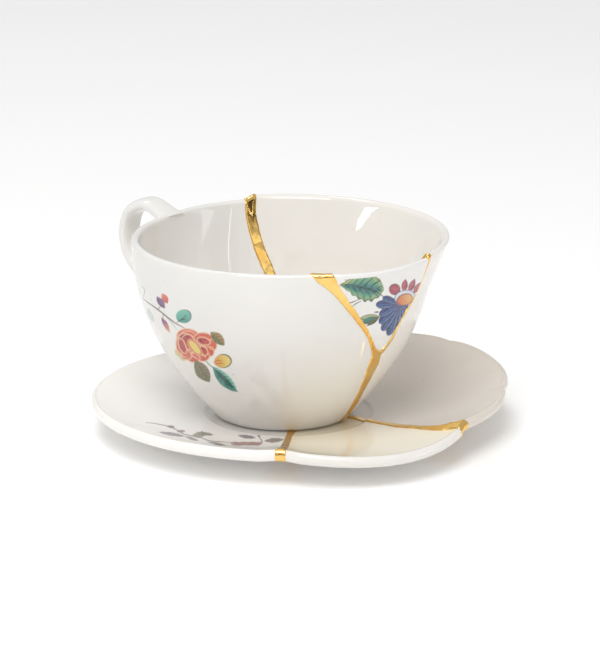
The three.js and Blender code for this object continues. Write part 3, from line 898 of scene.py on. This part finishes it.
class Brush:
    """Lays soft-edged strokes over one another on a mesh's vertices, where they are in reach."""

    def __init__(self, points, reach):
        self.reach = reach
        self.x, self.y = photo_pixels(points)
        self.x += 0.12 * np.sin(0.5 * self.y + 0.3 * self.x)
        self.y += 0.06 * np.sin(0.4 * self.x + 0.3 * self.y + 2)
        self.colour = np.zeros((len(points), 3))
        self.cover = np.zeros(len(points))

    def lay(self, mask, paint, second=None, share=0, strength=1.0):
        """Lays a paint over what is there, shading into a second one by a share."""
        mask = (mask * self.reach * strength)[:, None]
        share = np.clip(share + 0 * mask[:, 0], 0, 1)[:, None]
        paint, second = (pigment(*p) * PAINT_DEPTH for p in (paint, second or paint))
        kept = self.cover[:, None] * (1 - mask)
        total = mask + kept
        mixed = (lerp(paint, second, share) * mask + self.colour * kept) / np.maximum(total, 1e-6)
        self.colour = np.where(total > 1e-6, mixed, self.colour)
        self.cover = total[:, 0]

    def blob(self, centre, radii, degrees=0, soft=0.8):
        """An oval, with its own two directions."""
        c, s = math.cos(math.radians(degrees)), math.sin(math.radians(degrees))
        dx, dy = self.x - centre[0], self.y - centre[1]
        u, v = (dx * c + dy * s) / radii[0], (dy * c - dx * s) / radii[1]
        return np.clip(0.5 - (np.hypot(u, v) - 1) * min(radii) / soft, 0, 1), u, v

    def leaf(self, start, end, width, bend=0.0, belly=1.0, teeth=0, soft=0.8, blunt=0.8):
        """A pointed shape, with the way along it and the way across it."""
        way = np.subtract(end, start)
        length = np.hypot(*way)
        dx, dy = self.x - start[0], self.y - start[1]
        t = (dx * way[0] + dy * way[1]) / length**2
        inside = np.clip(t, 0, 1)
        v = (dy * way[0] - dx * way[1]) / length - bend * np.sin(math.pi * inside)
        half = width / 2 * np.sin(math.pi * inside**belly) ** blunt
        half = half * (1 + 0.08 * np.sin(2 * math.pi * teeth * inside))
        mask = np.clip(0.5 - (np.abs(v) - half) / soft, 0, 1) * (t > 0) * (t < 1)
        return mask, inside, v / np.maximum(half, 0.3)

    def line(self, points, width):
        """A stroke through points, thinner towards both ends."""
        path = smooth_line([(*p, 0) for p in points], 1.5)[0][:, :2]
        here = np.column_stack([self.x, self.y])
        best = np.full(len(here), 1e9)
        half = np.zeros(len(here))
        for k, (a, b) in enumerate(zip(path[:-1], path[1:])):
            way = b - a
            t = np.clip((here - a) @ way / max(way @ way, 1e-9), 0, 1)
            far = np.linalg.norm(here - a - t[:, None] * way, axis=1)
            thick = width / 2 * (0.45 + 0.55 * np.sin(math.pi * (k + t) / (len(path) - 1)))
            half = np.where(far < best, thick, half)
            best = np.minimum(far, best)
        return np.clip(0.5 - (best - half) / 0.6, 0, 1)

    def veins(self, leaf, count, slant):
        """Fine lines that run back from a leaf's middle to its edges."""
        mask, t, v = leaf
        phase = t * count - np.abs(v) * slant
        return mask * np.clip(1.3 - np.abs(phase - np.round(phase)) * 9, 0, 1) * (np.abs(v) < 0.92)

    def strokes(self, width, paint, *lines, strength=1.0):
        for points in lines:
            self.lay(self.line(points, width), paint, strength=strength)

    def spot(self, centre, radii, degrees, paint, strength=1.0):
        self.lay(self.blob(centre, radii, degrees)[0], paint, strength=strength)


SEPIA = (112, 92, 80)
CORAL = (232, 104, 78)
RED = (216, 72, 54)
CRIMSON = (176, 44, 62)
PEACH = (250, 200, 162)
YELLOW = (248, 222, 118)
TEAL = (66, 158, 142)
PALE_TEAL = (138, 212, 190)
DARK_TEAL = (22, 88, 84)
OLIVE = (116, 122, 68)
DARK_OLIVE = (72, 74, 44)
LIME = (208, 210, 142)
COBALT = (34, 76, 150)
PALE_COBALT = (92, 130, 190)
NAVY = (24, 28, 80)


def paint_peony_spray(brush):
    tip = [(141.5, 286), (144.6, 290), (144, 295), (143.2, 299)]
    brush.strokes(0.9, SEPIA, tip, strength=0.5)
    brush.spot((150.6, 315.5), (2.2, 7.5), -24, TEAL, 0.38)
    for points, width, strength in (
        ([(143.5, 299.2), (157.6, 309.4), (174.5, 322.5), (185, 328.5)], 1.3, 1),
        ([(163, 313.6), (170, 321), (177, 329.5)], 0.7, 0.6),
        ([(157.6, 309.4), (160.6, 306.6)], 0.9, 1),
        ([(162.4, 313), (163.2, 316), (163, 319)], 0.8, 0.8),
    ):
        brush.strokes(width, SEPIA, points, strength=strength)
    mask, t, _ = brush.leaf((162.2, 293.4), (167.6, 303.6), 6)
    brush.lay(mask, (240, 140, 110), RED, t)
    mask, _, v = brush.leaf((156.8, 296.4), (165, 308.4), 6.2)
    brush.lay(mask, (150, 118, 160), (88, 42, 88), 0.5 + v / 2)
    mask, t, _ = brush.leaf((161.4, 317), (170, 332.6), 4.6)
    brush.lay(mask, (146, 66, 120), (242, 160, 104), t * 1.6 - 0.5)

    brush.spot((184.3, 316.2), (7.4, 6.8), 0, DARK_TEAL, 0.85)
    mask, _, v = brush.blob((183.2, 316.3), (7.3, 6.5))
    brush.lay(mask, PALE_TEAL, TEAL, 0.5 + v * 0.4)
    brush.strokes(
        1.1, DARK_TEAL, [(176.8, 322.4), (181, 320), (186.4, 315.4)], [(181, 320), (185.6, 319.4)]
    )
    for start, end, width in (((177.5, 347), (184.4, 361.6), 6), ((175, 349.5), (179.6, 357), 4)):
        leaf = brush.leaf(start, end, width)
        brush.lay(leaf[0], YELLOW, LIME, leaf[1], 0.85)
        brush.lay(brush.veins(leaf, 4, 0.5), OLIVE, strength=0.4)

    for centre, radii, turn in (
        ((189.5, 338.5), (13, 9), 22), ((184.4, 346), (8, 12), -14),
        ((204, 339.5), (10, 6.6), 12), ((211, 345.5), (5.6, 6), 20),
        ((209.4, 351.6), (4.6, 4.8), 0), ((203.6, 356.6), (6, 4.6), -20),
        ((193, 357.6), (7, 4.4), 14), ((186.6, 355), (5, 4.6), 30),
    ):
        brush.lay(brush.blob(centre, np.add(radii, 0.6), turn, 1.2)[0], PEACH)
        mask, _, v = brush.blob(centre, np.subtract(radii, 0.4), turn)
        brush.lay(mask, CORAL, RED, 0.5 + 0.5 * v)
    for centre, radii, turn in (
        ((187, 341.4), (9.6, 7), 40), ((182.4, 346), (3.4, 8), -22),
        ((203.6, 341.2), (7, 3.8), 14), ((203, 351), (5.6, 4), 46),
    ):
        brush.spot(centre, np.add(radii, 0.5), turn, PEACH)
        mask, u, _ = brush.blob(centre, np.subtract(radii, 0.7), turn)
        brush.lay(mask, CRIMSON, RED, 0.35 + 0.5 * u)
    brush.strokes(
        1.1, PEACH,
        [(178.6, 336), (184, 331.4), (191, 331.6), (196.6, 335.4)],
        [(181, 338.6), (186, 334.6), (191.6, 335.6), (195, 339.8)],
        [(199, 350), (203, 354.4), (206.4, 358)],
        [(178, 350), (182, 355.4), (188, 358.4)],
        [(190, 352.4), (194, 357), (199, 359.6)],
        [(208, 346.4), (211, 349), (213.4, 350)],
    )
    for radii, paint in (((10.2, 4.8), PEACH), ((9.6, 4.2), RED), ((8.5, 3.2), YELLOW)):
        brush.spot((194.8, 347.2), radii, 50, paint)

    leaf = brush.leaf((210.6, 332), (224.6, 345.4), 9.8, -0.4)
    brush.lay(leaf[0], (178, 142, 84), OLIVE, 0.5 + leaf[2])
    brush.lay(brush.veins(leaf, 5, 0.9), DARK_OLIVE, strength=0.8)
    brush.spot((223.4, 361), (8.4, 7), 0, DARK_OLIVE)
    mask, u, _ = brush.blob((222.4, 361.2), (8.2, 6.3))
    brush.lay(mask, (240, 176, 96), YELLOW, 0.6 + u * 0.6)
    brush.strokes(
        1, (222, 112, 62),
        [(213.6, 362.6), (218, 360.4), (222.6, 361.4)],
        [(215, 364.4), (219, 363.4), (224, 363.8)],
    )
    brush.strokes(1.1, (130, 176, 140), [(205, 359.6), (209, 364.4), (214.6, 369)])
    leaf = brush.leaf((195, 360.6), (209.8, 382), 13.4, 0.3)
    brush.lay(leaf[0], (150, 132, 104), OLIVE, 0.5 + leaf[2] * 0.6)
    brush.lay(brush.veins(leaf, 7, 1.1), DARK_OLIVE, strength=0.75)
    brush.strokes(1, DARK_OLIVE, [(197, 363.4), (203, 371.6), (208.4, 380)])
    leaf = brush.leaf((212.6, 366.6), (237.4, 391.8), 11.4, 0.9)
    brush.lay(leaf[0], PALE_TEAL, TEAL, 0.5 + leaf[2])
    inside = brush.leaf((214, 368.4), (234.4, 388.8), 7, 0.9)
    brush.lay(inside[0], DARK_TEAL, TEAL, np.abs(inside[2]))
    brush.lay(brush.veins(leaf, 8, 1.2), DARK_TEAL, strength=0.8)
    brush.strokes(0.9, DARK_TEAL, [(213.4, 368), (226, 379.6), (238, 392.2)])


def paint_blue_flower(brush):
    brush.spot((338.6, 276), (2.6, 2.8), 20, CRIMSON)
    brush.strokes(
        0.9, DARK_OLIVE,
        [(347, 303.6), (352, 302.4), (358.6, 299.6)],
        [(350.6, 308), (355.6, 304), (361.4, 300.8)],
    )

    leaf = brush.leaf((339, 284.6), (384, 289.4), 28.6, -0.8, 1.5, 7, blunt=0.72)
    brush.lay(leaf[0], (196, 204, 138), (146, 180, 124), leaf[1])
    outline = leaf[0] * np.clip((np.abs(leaf[2]) - 0.86) * 9, 0, 1)
    brush.lay(outline, (44, 62, 48), strength=0.9)
    inside = brush.leaf((341.6, 286), (381.6, 289.6), 22, -0.2, 1.5, 7, blunt=0.72)
    brush.lay(inside[0], TEAL, (138, 190, 142), np.abs(inside[2]) ** 1.5)
    shade = inside[0] * np.clip(1.2 - np.abs(inside[2] - 0.1) * 1.9, 0, 1)
    brush.lay(shade, (34, 106, 118), strength=0.8)
    brush.lay(brush.veins(leaf, 7, 1.4), (28, 70, 66), strength=0.95)
    middle = [(339.4, 284.6), (352, 285), (364, 288), (374, 290.6), (385.4, 298)]
    brush.strokes(1.5, (28, 66, 62), middle)

    fork = [(343.2, 274), (345.2, 277.4), (345.4, 281)], [(347.4, 273.6), (345.4, 277.2)]
    brush.strokes(1, (104, 62, 66), *fork)
    for start, end, width, paint, second in (
        ((359, 318.8), (380.4, 316.4), 5.6, LIME, TEAL),
        ((361, 323.6), (377.4, 317.2), 5, TEAL, DARK_TEAL),
        ((367.2, 325.8), (379.4, 316.6), 3.4, OLIVE, DARK_OLIVE),
    ):
        brush.lay(brush.leaf(start, end, width + 1.1)[0], (44, 56, 40), strength=0.95)
        mask, _, v = brush.leaf(start, end, width - 0.6)
        brush.lay(mask, paint, second, 0.5 + v / 2)
    brush.spot((376.4, 312.2), (2.2, 0.8), -6, (96, 46, 76))

    wine = (112, 20, 50)
    brush.spot((394.7, 289.4), (5.8, 5.7), 0, wine)
    mask, u, v = brush.blob((394.5, 289.2), (5, 4.9))
    brush.lay(mask, (198, 84, 112), CRIMSON, np.hypot(u, v))
    for start, end, width in (
        ((404, 292), (405.4, 279.2), 6.4), ((408.8, 292.4), (415, 278.8), 5.8),
        ((413, 294), (420.4, 282.4), 4.8),
    ):
        brush.lay(brush.leaf(start, end, width)[0], wine)
        mask, _, v = brush.leaf(start, end, width - 1.7)
        brush.lay(mask, (202, 84, 112), CRIMSON, 0.5 + v)

    heart = (399.6, 304)
    for tip, width in (
        ((408.6, 306.4), 5.4), ((405.6, 312.6), 6), ((401.4, 321), 7), ((395.6, 329), 7.4),
        ((388, 335.6), 7.6), ((382, 330.8), 7.2), ((379.2, 323.4), 7.4),
        ((379.4, 315.6), 7.2), ((376, 304.8), 7.4), ((382.6, 297.6), 6),
    ):
        brush.lay(brush.leaf(heart, tip, width + 1.7, 0, 1.6, blunt=0.45)[0], NAVY)
        mask, t, v = brush.leaf(heart, tip, width - 0.6, 0, 1.6, blunt=0.45)
        brush.lay(mask, PALE_COBALT, COBALT, 0.75 + v * 0.9)
        stripes = np.clip(1.25 - np.abs(np.abs(v) - 0.42) * 5, 0, 1)
        brush.lay(mask * stripes, NAVY, strength=0.9)
        brush.lay(mask * np.clip(1 - t * 2.4, 0, 1), (84, 46, 120), strength=0.7)

    brush.spot((404.8, 297.4), (10.6, 7.4), -14, (92, 100, 168))
    brush.spot((404.8, 297.4), (9.9, 6.7), -14, (238, 238, 244))
    brush.spot((404.6, 299.6), (8.6, 5.8), -20, (128, 52, 78))
    mask, u, _ = brush.blob((404.8, 299.7), (7.7, 4.9), -20)
    brush.lay(mask, (232, 120, 50), (248, 186, 100), 0.5 + u * 0.6)


def paint_faded_sprig(brush):
    """A sprig printed in worn sepia and violet along the saucer's edge."""
    faded, violet, dusty, moss = (112, 92, 84), (112, 98, 122), (176, 108, 100), (142, 130, 102)
    stem = [(146, 422.4), (160, 424.4), (173, 428), (185, 434.4), (200, 437.4), (208, 440.4)]
    twig = [(255, 443.6), (262, 441.8), (260, 438), (257.4, 435)]
    brush.strokes(1.1, faded, [*stem, (233, 442.6)], twig, strength=0.9)
    for start, end, width, paint, second in (
        ((158.6, 432), (186, 436.4), 3.4, violet, faded),
        ((185, 436.6), (198.6, 440.6), 2.6, violet, faded),
        ((166.6, 426.4), (175.4, 427), 2.6, violet, violet),
        ((176.4, 431.6), (185.6, 431), 2.8, faded, dusty),
        ((192, 435.6), (206.6, 433.8), 6, moss, OLIVE),
        ((199, 433), (213.6, 434.8), 3.4, moss, faded),
        ((200, 437), (202.4, 430.4), 3, moss, faded),
        ((208, 442), (226, 445.4), 2.2, (124, 122, 106), faded),
        ((238, 435.6), (256, 438), 3.6, violet, (112, 96, 116)),
        ((264, 441), (284, 439.6), 4.6, (132, 118, 98), faded),
        ((255.4, 433.6), (260.4, 436.6), 2.4, faded, OLIVE),
    ):
        mask, _, v = brush.leaf(start, end, width, teeth=3)
        brush.lay(mask, paint, second, 0.5 + v / 2, 0.92)
    for k in range(9):
        x = 233.5 + 3 * k
        dip = 1.2 * math.sin(2.1 * k)
        mask, _, v = brush.leaf((x - 3, 443.4 - dip), (x + 5.4, 443.8 + dip), 3.6, soft=1)
        brush.lay(mask, dusty, (150, 84, 82), 0.5 + v / 2, 0.85)


def on_cup_wall(flare):
    """Puts points of the cup's outer face exactly on it, and tells which they are."""

    def place(points):
        x, y, h = (points - CUP_AXIS).T
        angle = np.degrees(np.arctan2(y, x))
        r = bowl_side(h / CUP_HEIGHT)[0] + lip_flare(angle, h, flare)
        on_wall = (h > WALL_FOOT) & (h < CUP_HEIGHT - CUP_WALL / 2 - ON_FACE)
        near = (np.abs(np.hypot(x, y) - r) < ON_FACE) & on_wall
        return np.where(near[:, None], polar(angle, r, h) + CUP_AXIS, points), near

    return place


def on_plate(ware):
    """Puts points of the plate's rising upper face exactly on it, and tells which they are."""

    def place(points):
        angle, shape, out = out_on_slope(points, ware)
        placed = slope(angle, np.clip(out, 0, 1), 1, shape, 0) + SAUCER_AXIS
        near = (np.abs(placed - points)[:, 2] < ON_FACE) & (out > 0.02) & (out < SLOPE_END - 0.01)
        return np.where(near[:, None], placed, points), near

    return place


def tint_top(piece, ware, tint):
    """Gives a saucer shard its coloured glaze on the upper face only, inside its white edge."""
    points = vertices_of(piece.data)
    angle, shape, out = out_on_slope(points, ware)
    middle = slope(angle, np.clip(out, 0, 1), 0, shape, 0)[:, 2]
    plate_middle = PLATE_TOP - SAUCER_THICKNESS / 2
    upper = points[:, 2] - SAUCER_AXIS[2] > np.where(out < 0, plate_middle, middle)
    cover = upper * (1 - smoothstep(out, SLOPE_END - 0.03, SLOPE_END + 0.01))
    write_paint(piece.data, np.tile(pigment(*tint), (len(points), 1)), cover)


def decorate(piece, place, boxes, cuts, paint):
    """Paints on a fine net within boxes of the view, on one face of the piece."""

    def chosen(points):
        x, y = photo_pixels(points)
        inside = [(x > x0) & (x < x1) & (y > y0) & (y < y1) for x0, y0, x1, y1 in boxes]
        in_front = (points - (CUP_AXIS + SAUCER_AXIS) / 2) @ TO_CAMERA > 0
        return place(points)[1] & np.any(inside, axis=0) & in_front

    refine(piece, chosen, cuts)
    mesh = piece.data
    points, near = place(vertices_of(mesh))
    move_vertices(piece, points)
    brush = Brush(vertices_of(mesh), near & (vertices_of(mesh, "normal") @ TO_CAMERA > 0.02))
    paint(brush)
    write_paint(mesh, brush.colour, brush.cover)


# What lights the photograph
def light_world():
    world = bpy.data.worlds.new("studio")
    world.use_nodes = True
    sheet = Sheet(world.node_tree)
    way = sheet.node("ShaderNodeTexCoord", output="Generated")

    def dark_patch(place, edge, inside):
        dot = {"operation": "DOT_PRODUCT"}
        facing = sheet.node("ShaderNodeVectorMath", dot, [way, tuple(direction(*place))], "Value")
        return sheet.between(facing, edge, inside)

    dark = dark_patch(DOORWAY, 0.93, 0.97) + dark_patch(BEHIND_CAMERA, 0.88, 0.96) * 0.6
    light = sheet.mix(dark, (0.57, 0.57, 0.57, 1), (0.08, 0.06, 0.05, 1))
    sheet.feed(sheet.nodes["Background"].inputs["Color"], light)
    bpy.context.scene.world = world


def lay_floor():
    size = 3.0
    corners = [(-size, -size, 0), (size, -size, 0), (size, size, 0), (-size, size, 0)]
    floor = new_piece("floor", corners, [(0, 1, 2, 3)])
    paper = Surface("white_paper")
    glow = {"Emission_Color": (1, 1, 1, 1), "Emission_Strength": 0.1}
    paper.set(Base_Color=(0.95, 0.95, 0.95, 1), Roughness=0.9, **glow)
    floor.data.materials.append(paper.material)


def face(item, way):
    item.rotation_euler = Vector(way).to_track_quat("-Z", "Y").to_euler()


LIT_POINT = (0, 0, 0.04)
# Bearing and elevation, distance, width and height in metres, power in watts
SOFTBOXES = {
    "overhead": (-66, 60, 1.3, 0.8, 0.8, 9.2),
    "window": (-121, 26.2, 1.2, 0.3, 0.036, 0.4),
    "front": (-36, 18, 1.2, 0.6, 0.3, 0.42),
    "strip": (-1, 20, 1.2, 0.014, 0.5, 0.14),
    "right": (26, 4, 1.2, 0.6, 0.25, 1),
    "back": (160, 61, 1.3, 0.4, 0.2, 1.5),
}


def softbox(name, bearing, elevation, distance, width, height, power):
    data = bpy.data.lights.new(name, "AREA")
    data.shape = "RECTANGLE"
    data.size = width
    data.size_y = height
    data.energy = power
    lamp = new_object(name, data)
    way = Vector(direction(bearing, elevation))
    lamp.location = Vector(LIT_POINT) + way * distance
    face(lamp, -way)


def place_camera():
    data = bpy.data.cameras.new("camera")
    data.sensor_fit = "HORIZONTAL"
    data.sensor_width = 36
    data.lens = data.sensor_width * CAMERA_DISTANCE * PX_PER_MM / PHOTO_WIDTH
    data.clip_end = 20
    camera = new_object("camera", data)
    camera.location = Vector(EYE) * MM
    face(camera, AIM - EYE)
    bpy.context.scene.camera = camera


def hand_over(piece, name, node, sharp_angle):
    """Puts the piece in metres, sharp only at real edges, in the place of a CAD node."""
    piece.name = name
    move_vertices(piece, vertices_of(piece.data) * MM)
    piece.data.shade_smooth()
    piece.data.set_sharp_from_angle(angle=math.radians(sharp_angle))
    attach(piece, "root")
    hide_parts(node)


cup = build_cup()
saucer = build_saucer()
lacquer = lacquer_tree(gold_material())
lay_lacquer(cup["gold"], lacquer, 3.0, CUP_AXIS[2] + GOLD_FOOT_LIFT)
lay_lacquer(saucer["gold"], lacquer, 8.0, GOLD_FOOT_LIFT)

SPRAY_BOXES = [(136, 282, 196, 337), (170, 326, 243, 397)]
FLOWER_BOXES = [(330, 270, 424, 345)]
SPRIG_BOXES = [(142, 417, 288, 450)]
handle_wall = on_cup_wall(HANDLE_SHARD_FLARE)
decorate(cup["handle"], handle_wall, SPRAY_BOXES, SPRAY_PAINT_CUTS, paint_peony_spray)
decorate(cup["flower"], on_cup_wall(1), FLOWER_BOXES, FLOWER_PAINT_CUTS, paint_blue_flower)
decorate(saucer["round"], on_plate(round_ware), SPRIG_BOXES, PLATE_PAINT_CUTS, paint_faded_sprig)
tint_top(saucer["cream"], cream_ware, (250, 241, 219))

# The body of each ware and the cloudy tint in it
FINISHES = {
    "cup": {
        "handle": ((235, 233, 229), (231, 229, 225)),
        "flower": ((240, 239, 237), (237, 236, 233)),
        "plain": ((240, 236, 230), (236, 232, 225)),
    },
    "saucer": {
        "round": ((250, 247, 242), (247, 244, 239)),
        "cream": ((241, 238, 233), (238, 234, 228)),
        # The petal ware's body and tint are darker partly as its own greyer glaze and partly as
        # painted shade, standing in for the cup's soft shadow across that shard.
        "petal": ((228, 220, 209), (223, 214, 203)),
    },
}
for whole, pieces in (("cup", cup), ("saucer", saucer)):
    for shard, (body, tint) in FINISHES[whole].items():
        piece, node = pieces[shard], f"{whole}_{shard}_shard"
        painted = "paint" in piece.data.attributes
        piece.data.materials.clear()
        piece.data.materials.append(glaze_material(node + "_glaze", body, tint, painted))
        hand_over(piece, "glazed_" + node, node, SHARD_SHARP_ANGLE)
    node = whole + "_gold_seam"
    hand_over(pieces["gold"], "raised_" + node, node, GOLD_SHARP_ANGLE)

bpy.context.scene.view_settings.view_transform = "Standard"
light_world()
lay_floor()
for name, setting in SOFTBOXES.items():
    softbox(name, *setting)
place_camera()
